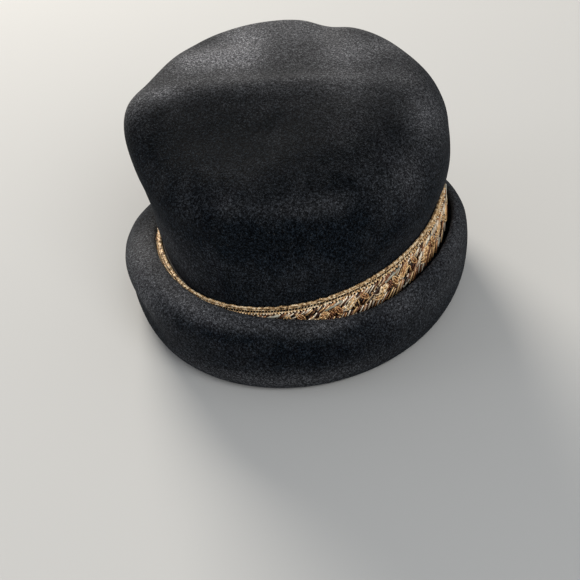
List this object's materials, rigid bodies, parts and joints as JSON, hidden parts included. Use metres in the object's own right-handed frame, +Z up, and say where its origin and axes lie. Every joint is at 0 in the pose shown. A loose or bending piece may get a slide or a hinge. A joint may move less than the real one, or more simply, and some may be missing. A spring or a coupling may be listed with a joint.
{
  "type": "cocktail hat",
  "caption": "Soft velour felt hat with a leaning crown, a broad hollow tip, a rolled brim all round and a beaded gold band in the valley between them.",
  "frame": {"origin": "middle of the hat's outline on the surface that it rests on", "axes": "+Z up, -Y towards the nape side of the hat, +Y towards the wearer's front, +X towards the wearer's right"},
  "size_m": [0.1995, 0.2158, 0.1271],
  "materials": {
    "velour_felt": "black fur felt with a short brushed nap",
    "gold_beadwork": "gold and bronze glass beads sewn on dark net",
    "gold_cord": "twisted metallic thread"
  },
  "bodies": {
    "root": {"crown": "velour_felt", "rolled_brim": "velour_felt", "beaded_band": "gold_beadwork", "band_edge_cord": "gold_cord"}
  },
  "joints": []
}
